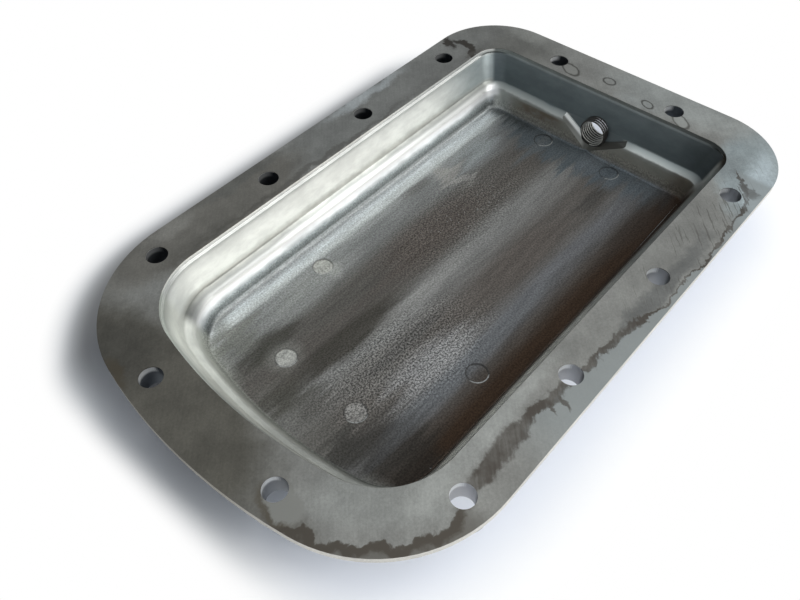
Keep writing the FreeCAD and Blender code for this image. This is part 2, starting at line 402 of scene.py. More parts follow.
def mask_group(name, inputs):
    """A shader node group that puts out one mask. Its inputs are given as (name, kind)."""
    group = bpy.data.node_groups.new(name, "ShaderNodeTree")
    for socket_name, kind in inputs:
        add_socket(group, socket_name, kind)
    add_socket(group, "Mask", "Float", "OUTPUT")
    return group, *ends(group)


def place_in_ellipse(group, given):
    """The position along and across the ellipse, 1 at its edge."""
    off_centre = vector_minus(group, given["Position"], given["Centre"])
    along = vector_arithmetic(group, "DOT_PRODUCT", off_centre, given["Lengthwise"])
    aside = vector_arithmetic(group, "DOT_PRODUCT", off_centre, given["Crosswise"])
    return joined(group, along, aside)


patch_group, given, result = mask_group("soft_patch", PLACE_INPUTS + [
    ("Inner Edge", "Float"),
    ("Outer Edge", "Float"),
    ("Strength", "Float"),
])
reach = vector_length(patch_group, place_in_ellipse(patch_group, given))
inner, outer, strength = (given[name] for name in ("Inner Edge", "Outer Edge", "Strength"))
patch = smooth_step(patch_group, reach, inner, outer, strength, 0.0)
connect(patch_group, patch, result["Mask"])

ring_group, given, result = mask_group("thin_ring", PLACE_INPUTS + [
    ("Thickness", "Float"),
    ("Strength", "Float"),
    ("Lit From", "Vector"),
    ("Threshold", "Float"),
])
place = place_in_ellipse(ring_group, given)
reach = vector_length(ring_group, place)
from_edge = arithmetic(ring_group, "ABSOLUTE", minus(ring_group, reach, 1.0))
ring = smooth_step(ring_group, from_edge, 0.0, given["Thickness"], given["Strength"], 0.0)
towards = vector_arithmetic(ring_group, "DOT_PRODUCT", place, given["Lit From"])
above_threshold = minus(ring_group, towards, given["Threshold"])
lit = smooth_step(ring_group, above_threshold, 0.0, 0.4)
connect(ring_group, product(ring_group, ring, lit), result["Mask"])
print("node groups:", patch_group.name, ring_group.name)

# %% [markdown]
# These calls lay the groups over a colour one after the other, from a plain list: what the
# stain is, where it lies and how dark it is. The list is then the only thing to change.

# %% Short calls for painting stains
def place_group(tree, group, position, place, settings):
    """One patch or ring. Its place is (x, y, turn in degrees, half length, half width)."""
    node = add_node(tree, "ShaderNodeGroup", node_tree=group)
    connect(tree, position, node.inputs["Position"])
    centre_x, centre_y, turn, half_length, half_width = place[:5]
    cosine, sine = math.cos(math.radians(turn)), math.sin(math.radians(turn))
    node.inputs["Centre"].default_value = (centre_x, centre_y, 0.0)
    node.inputs["Lengthwise"].default_value = (cosine / half_length, sine / half_length, 0.0)
    node.inputs["Crosswise"].default_value = (-sine / half_width, cosine / half_width, 0.0)
    for name, number in settings.items():
        node.inputs[name].default_value = number
    return node


def soft_patch(tree, position, place):
    """A patch's place ends with the softness of its edge and its strength."""
    edge, strength = place[5:]
    settings = {"Inner Edge": 1.0 - edge, "Outer Edge": 1.0 + edge, "Strength": strength}
    return place_group(tree, patch_group, position, place, settings)


def patch_mask(tree, position, *place):
    return soft_patch(tree, position, place).outputs["Mask"]


def paint(tree, under, position, stains):
    """Lay stains over a colour, in order. Each is (what it is, its place, its colour)."""
    for label, place, stain_colour in stains:
        patch = soft_patch(tree, position, place)
        patch.label = label
        under = mix_colour(tree, patch.outputs["Mask"], under, (*stain_colour, 1.0))
    return under


def draw_rings(tree, under, position, rings, lit_from=(0.0, 0.0, 0.0), threshold=-1.0):
    """Draw thin rings over a colour. A ring's place ends with its thickness and strength."""
    for label, place, ring_colour in rings:
        settings = {
            "Thickness": place[5],
            "Strength": place[6],
            "Lit From": lit_from,
            "Threshold": threshold,
        }
        ring = place_group(tree, ring_group, position, place, settings)
        ring.label = label
        under = mix_colour(tree, ring.outputs["Mask"], under, (*ring_colour, 1.0))
    return under


def bands(tree, source, stops):
    """A colour that changes along a source. Stops are (place, colour), from low to high."""
    low, high = stops[0][0], stops[-1][0]
    share = straight_step(tree, source, low, high)
    ramp = add_node(tree, "ShaderNodeValToRGB")
    connect(tree, share, ramp.inputs["Fac"])
    elements = ramp.color_ramp.elements
    elements[0].color = (*stops[0][1], 1.0)
    elements[1].color = (*stops[-1][1], 1.0)
    for place, colour in stops[1:-1]:
        element = elements.new((place - low) / (high - low))
        element.color = (*colour, 1.0)
    return ramp.outputs["Color"]


def curve(tree, source, points, low, high):
    """A drawn curve. Points are (source, value), and values lie from low to high."""
    start, end = points[0][0], points[-1][0]
    share = straight_step(tree, source, start, end)
    node = add_node(tree, "ShaderNodeFloatCurve")
    connect(tree, share, node.inputs["Value"])
    places = [((a - start) / (end - start), (b - low) / (high - low)) for a, b in points]
    drawn = node.mapping.curves[0].points
    drawn[0].location = places[0]
    drawn[1].location = places[-1]
    for place in places[1:-1]:
        drawn.new(*place)
    node.mapping.update()
    return arithmetic(tree, "MULTIPLY_ADD", node.outputs["Value"], high - low, low)


def noise(tree, position, scale, detail, roughness, output="Fac"):
    node = add_node(tree, "ShaderNodeTexNoise")
    connect(tree, position, node.inputs["Vector"])
    node.inputs["Scale"].default_value = scale
    node.inputs["Detail"].default_value = detail
    node.inputs["Roughness"].default_value = roughness
    return node.outputs[output]


def shifted(tree, position, size, detail, reach):
    """A position moved about by noise, so that what is painted by it gets an uneven edge."""
    wander = noise(tree, stretched(tree, position, size), 1.0, detail, 0.6, "Color")
    channels = add_node(tree, "ShaderNodeSeparateColor")
    connect(tree, wander, channels.inputs["Color"])
    wander = joined(tree, channels.outputs["Red"], channels.outputs["Green"])
    wander = vector_minus(tree, wander, (0.5, 0.5, 0.0))
    return vector_arithmetic(tree, "ADD", position, stretched(tree, wander, reach))


print("painting calls ready")

# %% [markdown]
# The whole pan is one casting, so one material covers it. Each surface still looks
# different, because one was machined, one held the oil and one faced the road. Cutting the
# mesh into material slots would show hard seams. So masks say where each surface is, from
# its height and from which pocket wall is nearest.

# %% Metal: where each surface is
RIM_FAR_X = 117.7
RIM_SIDE_Y = 67.6
RIM_NEAR_X = -116.1
RIM_NEAR_BOW = 1.0 / 410.0

metal = bpy.data.materials.new("used_cast_aluminium")
metal.use_nodes = True
tree = metal.node_tree
shader = tree.nodes["Principled BSDF"]
position = millimetres(tree)
x, y, z = split(tree, position)
plan_position = stretched(tree, position, (1.0, 1.0, 0.0))
surface = add_node(tree, "ShaderNodeNewGeometry").outputs["True Normal"]
facing_y, facing_z = split(tree, surface)[1:]

away_from_middle = vector_arithmetic(tree, "DOT_PRODUCT", plan_position, surface)
facing_out = smooth_step(tree, away_from_middle, 0.0, 2.0)
facing_down = smooth_step(tree, facing_z, -0.3, -0.6)
outside = arithmetic(tree, "MAXIMUM", facing_out, facing_down)
flange_zone = smooth_step(tree, z, 31.2, 31.4)
floor_zone = product(
    tree,
    between(tree, z, 3.2, 3.5, 4.03, 4.6),
    smooth_step(tree, outside, 0.4, 0.6, 1.0, 0.0),
)

across = arithmetic(tree, "ABSOLUTE", y)
to_side = minus(tree, RIM_SIDE_Y, across)
to_far = minus(tree, RIM_FAR_X, x)
bow = product(tree, y, y, RIM_NEAR_BOW)
to_near = minus(tree, minus(tree, x, RIM_NEAR_X), bow)
far_end = smooth_step(tree, minus(tree, to_side, to_far), -1.5, 1.5)
near_end = smooth_step(tree, minus(tree, to_side, to_near), -4.0, 4.0)
print("zones: outside, flange, floor, far end, near end")

# %% [markdown]
# Nothing on a used casting has a ruler-straight edge. A position that noise has moved about
# gives every stain painted with it a ragged edge. A second one is stretched along the pan,
# because the floor's streaks run that way.

# %% Metal: uneven edges and fine grain
GRAIN_SCALE = 1.25

ragged_position = shifted(tree, plan_position, (0.12, 0.12, 0.12), 3.0, (9.0, 9.0, 0.0))
ragged_position = shifted(tree, ragged_position, (0.7, 0.7, 0.7), 3.0, (2.4, 2.4, 0.0))
streaky_position = shifted(tree, plan_position, (0.02, 0.16, 0.0), 4.0, (50.0, 6.0, 0.0))
streaky_position = shifted(tree, streaky_position, (0.35, 0.6, 0.0), 3.0, (6.0, 2.4, 0.0))
grain_noise = noise(tree, position, GRAIN_SCALE, 3.0, 0.75)
streak_noise = noise(tree, stretched(tree, plan_position, (0.05, 0.35, 0.0)), 1.0, 3.0, 0.55)
print("positions: plan, ragged, streaky")

# %% [markdown]
# The floor of the pocket is the as-cast skin, darkened by old oil that was wiped along the pan. Its
# colour runs in bands across the width, then come the longer streaks and blots. The pale blue band
# along the foot of the left wall is a painted reflection of that bright wall, and the dark brown
# along the foot of the right wall is painted shade with that wall's brown reflection.

# %% Metal: the pocket floor
floor_bands = (
    # painted shade and brown reflection along the foot of the right wall, from -60 to -51 mm
    (-60, (0.055, 0.032, 0.02)),
    (-51, (0.065, 0.045, 0.032)),
    (-45, (0.11, 0.095, 0.082)),
    (-39, (0.16, 0.157, 0.155)),
    (-34.5, (0.205, 0.205, 0.203)),
    (-27, (0.155, 0.143, 0.129)),
    (-15, (0.153, 0.14, 0.126)),
    (-3.5, (0.255, 0.252, 0.24)),
    (2, (0.265, 0.262, 0.248)),
    (9, (0.15, 0.14, 0.126)),
    (16, (0.132, 0.12, 0.107)),
    (28, (0.15, 0.142, 0.13)),
    (34, (0.205, 0.206, 0.2)),
    (42, (0.23, 0.236, 0.232)),
    (46.5, (0.29, 0.3, 0.295)),
    # painted reflection of the bright left wall, from 48.5 to 56 mm
    (48.5, (0.5, 0.525, 0.52)),
    (52.5, (0.56, 0.592, 0.603)),
    (56, (0.39, 0.403, 0.403)),
    (60, (0.12, 0.125, 0.125)),
)
band_y = split(tree, shifted(tree, plan_position, (0.03, 0.2, 0.0), 4.0, (0.0, 5.0, 0.0)))[1]
floor_colour = bands(tree, band_y, floor_bands)

floor_stains = (
    ("mottled grey by the bowed end", (-87, 42, 0, 8, 14, 0.6, 0.7), (0.185, 0.188, 0.168)),
    ("grey bowed end, middle", (-100, -8, 0, 12, 26, 0.6, 0.6), (0.195, 0.19, 0.172)),
    ("olive smear", (-91, 5, 0, 10, 7, 0.7, 0.8), (0.085, 0.081, 0.067)),
    ("dark dab below it", (-87, -6, 0, 6, 4, 0.6, 0.7), (0.105, 0.1, 0.088)),
    ("dark blot by the left end", (-81, 29, 0, 14, 5, 0.5, 0.9), (0.08, 0.077, 0.066)),
    ("brown middle", (8, 20, 0, 34, 10, 0.6, 0.7), (0.12, 0.101, 0.088)),
    ("dark oily streak", (-54, 7, -3, 30, 6.4, 0.4, 0.95), (0.08, 0.074, 0.063)),
    ("dark streak, left", (-38, 23, 0, 24, 4.6, 0.6, 0.6), (0.12, 0.115, 0.103)),
    ("pale patch above it", (-48, 38, 0, 20, 6, 0.8, 0.6), (0.37, 0.38, 0.362)),
    ("rubbed streak, pale start", (-14, 0, 0, 26, 3.6, 0.7, 0.7), (0.37, 0.365, 0.346)),
    ("speckled, left of the middle", (-64, -12, -8, 22, 8, 0.6, 0.75), (0.19, 0.182, 0.168)),
    ("dark under the speckles", (-44, -12, 0, 16, 3.6, 0.6, 0.8), (0.135, 0.13, 0.122)),
    ("bright speckled area", (-42, -27, -4, 22, 7.5, 0.6, 0.85), (0.345, 0.342, 0.336)),
    ("dark by the left mark", (-84, -40, 0, 17, 13, 0.5, 0.85), (0.056, 0.05, 0.043)),
    ("bluish film, left", (-30, -37.5, 0, 48, 3.8, 0.7, 0.6), (0.212, 0.224, 0.234)),
    ("bluish film, right", (44, -35, 0, 50, 2.8, 0.7, 0.5), (0.196, 0.198, 0.208)),
    ("brown right half", (24, -20, 0, 34, 8, 0.6, 0.6), (0.148, 0.126, 0.11)),
    ("dark streak, far right", (76, -23.5, 0, 13, 3.2, 0.5, 0.85), (0.098, 0.092, 0.084)),
    ("pale brown dab", (49, 37, -62, 10, 5, 0.5, 0.75), (0.35, 0.34, 0.318)),
    ("dark blot, far left", (31, 44, 0, 8, 2.6, 0.5, 0.8), (0.165, 0.163, 0.158)),
    ("blue-grey speckles", (70, 39, 0, 13, 6.5, 0.5, 0.6), (0.36, 0.388, 0.388)),
    ("dark blue far end", (103, 8, 0, 14, 36, 0.35, 0.92), (0.125, 0.148, 0.16)),
    ("blue far end, right", (102, -26, 0, 12, 22, 0.6, 0.8), (0.15, 0.178, 0.198)),
    ("dark far left corner", (109, 44, 0, 8, 18, 0.5, 0.8), (0.068, 0.076, 0.078)),
    ("paler blue in the middle", (102, -9, 0, 9, 6, 0.7, 0.7), (0.185, 0.208, 0.222)),
    ("faint pale streaks, far end", (95, 19, 0, 14, 2, 0.8, 0.6), (0.19, 0.205, 0.208)),
    # painted shade and brown reflection along the foot of the right wall
    ("brown foot of the right wall", (0, -56, 0, 130, 7.5, 0.5, 0.8), (0.056, 0.034, 0.021)),
    ("dark dab, near right", (-93, -27, 0, 9, 8, 0.6, 0.8), (0.066, 0.063, 0.056)),
    ("dark near right corner", (-82, -54, 0, 16, 8, 0.6, 0.8), (0.038, 0.033, 0.028)),
    ("dark foot, far right", (78, -49, 0, 26, 6, 0.6, 0.6), (0.055, 0.042, 0.034)),
    # painted reflection of the bright left wall
    ("pale foot, far left", (88, 55, 0, 14, 3.6, 0.6, 0.7), (0.54, 0.57, 0.575)),
)
bowed_end_stains = (
    ("pale bowed end, left", (-103, 44, -8, 8, 20, 0.6, 0.75), (0.37, 0.382, 0.342)),
    ("pale bowed end, right", (-105, -48, 20, 9, 16, 0.6, 0.75), (0.33, 0.33, 0.3)),
)
floor_colour = paint(tree, floor_colour, streaky_position, floor_stains)
floor_colour = paint(tree, floor_colour, ragged_position, bowed_end_stains)
print("floor:", len(floor_bands), "bands and", len(floor_stains), "stains")

# %% [markdown]
# Six round marks show where pins pushed the casting out of its mould. The marks are in the solid, a
# quarter of a millimetre deep. Dirt sits in the groove round each, and a painted highlight lies on
# the side of the groove towards the camera.

# %% Metal: the six round marks
mark_stains = (
    ("halo round the bright mark", (-79, 20, 0, 7, 6, 0.6, 0.35), (0.4, 0.405, 0.37)),
    ("bright mark, left end", (-78.9, 19.3, 0, 4.4, 4.4, 0.1, 0.8), (0.56, 0.56, 0.52)),
    ("smear below the next one", (-33, 38, 70, 5, 3, 0.6, 0.5), (0.42, 0.425, 0.4)),
    ("pale mark, left", (-34.7, 43, 0, 4.4, 4.4, 0.1, 0.7), (0.48, 0.48, 0.44)),
    ("grey mark, right", (-78.9, -19.3, 0, 4.4, 4.4, 0.1, 0.7), (0.33, 0.32, 0.3)),
)
floor_colour = paint(tree, floor_colour, plan_position, mark_stains)
marks = (
    (99.8, 19.3, 0.8),
    (99.8, -19.3, 0.7),
    (-34.7, 43, 0.5),
    (-34.7, -43, 0.8),
    (-78.9, 19.3, 0.6),
    (-78.9, -19.3, 0.6),
)
dark_rings = [
    ("dirt round a mark", (mark_x, mark_y, 0, 4.5, 4.5, 0.13, strength), (0.06, 0.058, 0.055))
    for mark_x, mark_y, strength in marks
]
# Painted highlight on the lit side of each mark's groove.
lit_rings = [
    ("lit edge of a mark", (mark_x, mark_y, 0, 4.6, 4.6, 0.09, strength), (0.62, 0.63, 0.61))
    for mark_x, mark_y, strength in marks
]
floor_colour = draw_rings(tree, floor_colour, plan_position, dark_rings)
floor_colour = draw_rings(tree, floor_colour, plan_position, lit_rings, (-0.5, -0.85, 0.0), 0.35)
print("round marks:", len(marks))

# %% [markdown]
# Seen close, the cast skin is grainy: strongly where the oil film was rubbed off the high
# spots, weakly elsewhere. A few spots are rubbed quite bare. Grain is only light and dark,
# so it multiplies the colour.

# %% Metal: grain on the floor
SPOT_SCALE = 0.55

speckled = patch_mask(tree, streaky_position, -48.0, -18.0, -10.0, 38.0, 18.0, 0.4, 1.0)
speckled_middle = patch_mask(tree, streaky_position, 30.0, 18.0, 0.0, 44.0, 15.0, 0.5, 0.7)
speckled = arithmetic(tree, "MAXIMUM", speckled, speckled_middle)
streak_light = smooth_step(tree, streak_noise, 0.3, 0.7, 0.9, 1.12)
calm_grain = smooth_step(tree, grain_noise, 0.33, 0.67, 0.70, 1.32)
strong_grain = smooth_step(tree, grain_noise, 0.40, 0.62, 0.38, 1.90)
extra_grain = minus(tree, strong_grain, calm_grain)
grain_light = arithmetic(tree, "MULTIPLY_ADD", extra_grain, speckled, calm_grain)
floor_colour = in_light(tree, floor_colour, product(tree, streak_light, grain_light))

cells = add_node(tree, "ShaderNodeTexVoronoi")
connect(tree, plan_position, cells.inputs["Vector"])
cells.inputs["Scale"].default_value = SPOT_SCALE
bare_spots = smooth_step(tree, cells.outputs["Distance"], 0.10, 0.20, 0.8, 0.0)
rubbed_area = patch_mask(tree, streaky_position, 36.0, 17.0, 0.0, 26.0, 12.0, 0.5, 1.0)
floor_colour = cover(tree, floor_colour, (0.42, 0.42, 0.40), bare_spots, rubbed_area)
print("grain scale:", GRAIN_SCALE, "per millimetre")

# %% [markdown]
# The pocket walls are brighter casting, with a darker foot where the oil stood. Their colour
# changes with height: the foot, the round up to the ledge, the ledge itself, the upper wall and the
# thin lip. Much of it is painted light: a painted highlight on the left round and the left lip,
# painted shade lines at the foot of the left upper wall and below its lip, a painted highlight
# along the far ledge, painted shade on the right lip, and a painted dark reflection that keeps the
# far wall dark blue-grey. A list of heights and colours for each wall is easy to read, and the
# masks from before choose between the walls.

# %% Metal: the pocket walls by height
# Left wall: painted highlights on the round (10 to 11.5 mm) and on the lip at the top, painted
# shade lines at 14.5 mm and 29.4 mm.
left_wall_bands = (
    (4.2, (0.12, 0.13, 0.13)),
    (5.5, (0.12, 0.13, 0.13)),
    (7, (0.19, 0.21, 0.21)),
    (8.5, (0.4, 0.43, 0.44)),
    (10, (0.84, 0.86, 0.87)),
    (11.5, (0.83, 0.84, 0.84)),
    (12.7, (0.6, 0.61, 0.6)),
    (14.5, (0.25, 0.26, 0.25)),
    (15.4, (0.31, 0.32, 0.3)),
    (16.8, (0.55, 0.56, 0.52)),
    (19, (0.87, 0.89, 0.85)),
    (24, (0.91, 0.93, 0.89)),
    (27, (0.77, 0.79, 0.76)),
    (29.4, (0.37, 0.38, 0.37)),
    (30.2, (0.72, 0.74, 0.72)),
    (31, (0.95, 0.95, 0.92)),
)
# Right wall: the dark top from 27.5 mm up is painted shade on the lip.
right_wall_bands = (
    (4.2, (0.06, 0.04, 0.03)),
    (9, (0.16, 0.14, 0.12)),
    (14, (0.28, 0.28, 0.26)),
    (20, (0.42, 0.43, 0.41)),
    (25, (0.3, 0.3, 0.28)),
    (27.5, (0.06, 0.05, 0.04)),
    (31, (0.05, 0.04, 0.03)),
)
# Far wall: the dark upper wall is a painted dark reflection, and the line at 13.4 mm a painted
# highlight on the ledge.
far_wall_bands = (
    (4.2, (0.14, 0.14, 0.13)),
    (6.5, (0.26, 0.25, 0.22)),
    (11.5, (0.27, 0.27, 0.24)),
    (12.7, (0.33, 0.34, 0.32)),
    (13.4, (0.62, 0.64, 0.61)),
    (14.6, (0.46, 0.49, 0.47)),
    (15.4, (0.34, 0.37, 0.36)),
    (15.9, (0.15, 0.18, 0.19)),
    (22, (0.15, 0.18, 0.19)),
    (28.5, (0.18, 0.21, 0.22)),
    (29.5, (0.3, 0.33, 0.32)),
    (31, (0.27, 0.29, 0.28)),
)
near_wall_bands = (
    (4.3, (0.32, 0.33, 0.3)),
    (9, (0.51, 0.525, 0.475)),
    (12, (0.67, 0.68, 0.63)),
    (21, (0.8, 0.81, 0.75)),
    (24, (0.74, 0.755, 0.7)),
    (28.5, (0.47, 0.49, 0.45)),
    (31, (0.5, 0.53, 0.49)),
)
wall_cloud = noise(tree, stretched(tree, position, (0.06, 0.06, 0.14)), 1.0, 4.0, 0.65)
uneven_z = arithmetic(tree, "MULTIPLY_ADD", minus(tree, wall_cloud, 0.5), 2.2, z)
uneven_z = mix_number(tree, between(tree, z, 5.0, 9.0, 24.0, 28.0), z, uneven_z)
wall_bands = (left_wall_bands, right_wall_bands, far_wall_bands, near_wall_bands)
left_wall, right_wall, far_wall, near_wall = (
    bands(tree, uneven_z, stops) for stops in wall_bands
)
print("wall bands:", [len(stops) for stops in wall_bands])

# %% [markdown]
# Along each wall the colour changes too. A bluish painted shade darkens the left wall near the far
# corner, and the painted highlight on its ledge is brightest in the middle. The far wall's foot is
# pale at its left and brown at its right, with a brown patch between, and a painted highlight lies
# on its ledge towards the right. The far and near walls fade towards the right, and a painted glint
# sits in the far left corner. Broad noise then clouds all of them a little.

# %% Metal: the walls along their length
left_ledge = between(tree, z, 12.0, 13.0, 16.0, 17.0)
# Painted highlight on the left ledge, brightest in the middle.
ledge_highlight_points = (
    (-110, 0.7), (-52, 0.7), (-30, 0.95), (-8, 1.2), (39, 1.0), (83, 0.77), (110, 0.8),
)
ledge_highlight = curve(tree, x, ledge_highlight_points, 0.0, 2.0)
left_wall = in_light(tree, left_wall, mix_number(tree, left_ledge, 1.0, ledge_highlight))
# Painted shade, bluish, on the left wall towards the far corner.
blue_corner_shade = product(
    tree,
    smooth_step(tree, x, 62.0, 104.0),
    between(tree, z, 15.0, 18.0, 27.5, 29.5),
)
left_wall = cover(tree, left_wall, (0.30, 0.35, 0.36), blue_corner_shade, 0.88)
low_wall = smooth_step(tree, z, 12.5, 13.2, 1.0, 0.0)
pale_foot = product(tree, smooth_step(tree, y, 42.0, 52.0), low_wall)
far_wall = cover(tree, far_wall, (0.45, 0.47, 0.45), pale_foot, 0.8)
brown_skirt = product(
    tree,
    between(tree, y, 12.0, 22.0, 36.0, 48.0),
    between(tree, z, 6.5, 9.0, 11.3, 12.4),
)
brown_skirt = product(tree, brown_skirt, smooth_step(tree, wall_cloud, 0.42, 0.58, 0.25, 0.85))
far_wall = cover(tree, far_wall, (0.150, 0.118, 0.090), brown_skirt)
brown_foot = product(tree, smooth_step(tree, y, -40.0, -54.0), low_wall)
far_wall = cover(tree, far_wall, (0.17, 0.13, 0.09), brown_foot, 0.6)
far_points = (
    (-68, 0.2), (-60, 0.32), (-50, 0.62), (-40, 0.82), (0, 0.92), (20, 0.85), (45, 0.9), (68, 1.0),
)
far_fade = curve(tree, y, far_points, 0.0, 2.0)
# Painted highlight on the far ledge towards the right.
far_ledge_highlight = product(
    tree,
    between(tree, y, -64.0, -54.0, -32.0, -12.0),
    between(tree, z, 12.4, 13.2, 15.2, 15.8),
)
far_fade = product(tree, far_fade, smooth_step(tree, far_ledge_highlight, 0.0, 1.0, 1.0, 1.75))
far_wall = in_light(tree, far_wall, far_fade)
near_points = ((-68, 0.6), (-10, 0.75), (10, 0.95), (30, 1.1), (50, 1.15), (68, 1.15))
near_fade = curve(tree, y, near_points, 0.0, 2.0)
near_wall = in_light(tree, near_wall, near_fade)

left_half = smooth_step(tree, y, -2.0, 2.0)
wall_colour = mix_colour(tree, left_half, right_wall, left_wall)
wall_colour = mix_colour(tree, near_end, wall_colour, near_wall)
wall_colour = mix_colour(tree, far_end, wall_colour, far_wall)
corner_glint = patch_mask(tree, plan_position, 106.0, 56.5, 45.0, 5.0, 3.0, 0.5, 0.9)
corner_glint = product(tree, corner_glint, between(tree, z, 9.0, 11.0, 14.0, 15.5))
wall_colour = cover(tree, wall_colour, (0.92, 0.93, 0.93), corner_glint)

cloud_on_walls = smooth_step(tree, wall_cloud, 0.3, 0.7, 0.86, 1.07)
foot_share = smooth_step(tree, z, 7.0, 9.5, 1.0, 0.0)
foot_grain = arithmetic(tree, "MULTIPLY_ADD", minus(tree, grain_light, 1.0), foot_share, 1.0)
wall_colour = in_light(tree, wall_colour, product(tree, cloud_on_walls, foot_grain))
print("walls: left, right, far, near")

# %% [markdown]
# In the middle of the far wall a V-shaped gutter leads from the floor up to the drain hole.
# Its flanks are painted by the way they face: the left flank, turned to the window, is painted grey
# with a painted highlight line where it leaves the wall, and the right flank, turned away, is
# painted dark as shade. Painted shade also darkens the bottom of the V and the bore, with faint
# lighter lines at the thread's pitch. Inside the V the wall's own plane shows again, so the
# distance from that leaning plane tells it from the flanks, and it keeps the far wall's painted
# dark.

# %% Metal: the gutter and the drain bore
DRAIN_Y = -1.7
DRAIN_Z = 13.1
DRAIN_R = 7.0
THREAD_PITCH = 1.5
WALL_DRAFT = 0.3106
WALL_FOOT_X = 107.95

off_axis = vector_minus(tree, position, (0.0, DRAIN_Y, DRAIN_Z))
off_axis = stretched(tree, off_axis, (0.0, 1.0, 1.0))
from_axis = vector_length(tree, off_axis)
in_gutter = product(
    tree,
    smooth_step(tree, x, 90.0, 94.0),
    between(tree, y, -22.0, -20.0, 17.0, 19.0),
    smooth_step(tree, z, 15.4, 15.8, 1.0, 0.0),
)
# Painted light and shade by facing: the lit flank faces the window, the shaded flank turns away.
lit_flank = product(tree, in_gutter, smooth_step(tree, facing_y, -0.08, -0.16))
shaded_flank = product(tree, in_gutter, smooth_step(tree, facing_y, 0.08, 0.16))
wall_plane_x = arithmetic(tree, "MULTIPLY_ADD", z, WALL_DRAFT, WALL_FOOT_X)
before_wall = minus(tree, wall_plane_x, x)
on_wall_plane = product(
    tree,
    smooth_step(tree, before_wall, 0.3, 0.6, 1.0, 0.0),
    between(tree, y, -20.0, -16.0, 12.0, 15.5),
    smooth_step(tree, z, 15.6, 16.4, 1.0, 0.0),
)
# The wall plane in the V keeps the far wall's painted dark reflection.
wall_colour = cover(tree, wall_colour, (0.150, 0.175, 0.185), on_wall_plane)
wall_colour = cover(tree, wall_colour, (0.20, 0.20, 0.18), lit_flank, 0.9)
flank_low = product(tree, lit_flank, smooth_step(tree, z, 12.5, 8.5, 0.0, 0.75))
wall_colour = cover(tree, wall_colour, (0.36, 0.36, 0.33), flank_low)
flank_highlight = product(tree, lit_flank, smooth_step(tree, before_wall, 0.7, 1.3, 0.95, 0.0))
wall_colour = cover(tree, wall_colour, (0.96, 0.96, 0.92), flank_highlight)
wall_colour = cover(tree, wall_colour, (0.055, 0.052, 0.045), shaded_flank, 0.9)
# Painted shade in the bottom of the V.
off_middle = arithmetic(tree, "ABSOLUTE", minus(tree, y, DRAIN_Y))
trough_shade = product(tree, in_gutter, smooth_step(tree, off_middle, 1.5, 4.5, 0.85, 0.0))
wall_colour = cover(tree, wall_colour, (0.09, 0.09, 0.08), trough_shade)
bore_mask = product(
    tree,
    smooth_step(tree, from_axis, DRAIN_R + 0.05, DRAIN_R + 0.25, 1.0, 0.0),
    smooth_step(tree, x, 98.0, 99.0),
)
# Painted shade in the drain bore, with faint lighter lines at the thread's pitch.
turn_lines = arithmetic(tree, "PINGPONG", x, THREAD_PITCH / 2.0)
bore_shade_lines = mix_colour(
    tree,
    smooth_step(tree, turn_lines, 0.2, 0.55),
    (0.012, 0.012, 0.01, 1),
    (0.1, 0.1, 0.09, 1),
)
print("drain bore at y", DRAIN_Y, "z", DRAIN_Z)

# %% [markdown]
# The flange is machined flat and has gone grey under dried oil. Its left side and its bowed near
# end are the darkest and its far right corner the palest, partly from that oil and partly as a
# painted reflection, paler where the flange mirrors the bright far side of the room. Large soft
# patches with ragged edges give that, and a broad cloud and fine grain keep any part from looking
# flat.

# %% Metal: the machined flange
# Stains and a painted reflection: paler at the far end and far right corner, darker at the left
# side and near end.
flange_stains_and_reflection = (
    ("dull far end, left", (120, 62, 10, 15, 28, 0.5, 0.85), (0.185, 0.183, 0.165)),
    ("grey left side", (50, 79, 0, 80, 14, 0.3, 0.9), (0.238, 0.24, 0.225)),
    ("darker left side", (-62, 80, 0, 52, 16, 0.2, 0.95), (0.204, 0.194, 0.17)),
    ("olive bowed end", (-138, 28, 0, 32, 62, 0.25, 0.97), (0.146, 0.137, 0.114)),
    ("bluish far right corner", (112, -84, 20, 34, 20, 0.25, 0.9), (0.395, 0.448, 0.455)),
    ("pale far end, right", (134, -32, 0, 12, 36, 0.5, 0.85), (0.4, 0.415, 0.395)),
    ("pale inside of the near corner", (-104, -62, -48, 26, 10, 0.4, 0.85), (0.37, 0.375, 0.352)),
    ("pale outer edge, left", (42, 87, 0, 24, 3, 0.5, 0.8), (0.5, 0.525, 0.525)),
    ("dull outer edge, left", (-38, 87, 0, 24, 3, 0.5, 0.7), (0.165, 0.165, 0.15)),
    ("paler edge, near left", (-76, 86, 0, 13, 4, 0.6, 0.8), (0.31, 0.3, 0.27)),
    ("dull inner edge, near left", (-76, 71, 0, 16, 3.5, 0.6, 0.7), (0.16, 0.153, 0.134)),
    ("dull inner edge, far left", (84, 70.5, 0, 44, 3.5, 0.6, 0.7), (0.2, 0.2, 0.187)),
    ("pale by the far rim", (121, -15, 0, 4, 11, 0.6, 0.75), (0.4, 0.415, 0.398)),
    ("dark near left corner", (-128, 50, 0, 14, 15, 0.6, 0.8), (0.098, 0.093, 0.08)),
    ("paler far left edge", (134, 55, 0, 5, 17, 0.6, 0.7), (0.3, 0.3, 0.275)),
    ("paler bowed end, right", (-134, -46, 0, 6, 12, 0.6, 0.7), (0.2, 0.19, 0.165)),
    ("pale inner edge, right", (-66, -70, 0, 36, 4, 0.5, 0.85), (0.42, 0.425, 0.4)),
    ("dull band inside the tide line", (28, -82.5, 0, 32, 3.4, 0.5, 0.75), (0.165, 0.168, 0.162)),
    ("bright far right edge", (102, -86, 18, 20, 6, 0.5, 0.85), (0.64, 0.72, 0.745)),
    ("grey by the last hole", (108, -70, 0, 10, 5, 0.6, 0.7), (0.26, 0.285, 0.285)),
)
flange_colour = paint(tree, (0.305, 0.303, 0.282, 1.0), ragged_position, flange_stains_and_reflection)
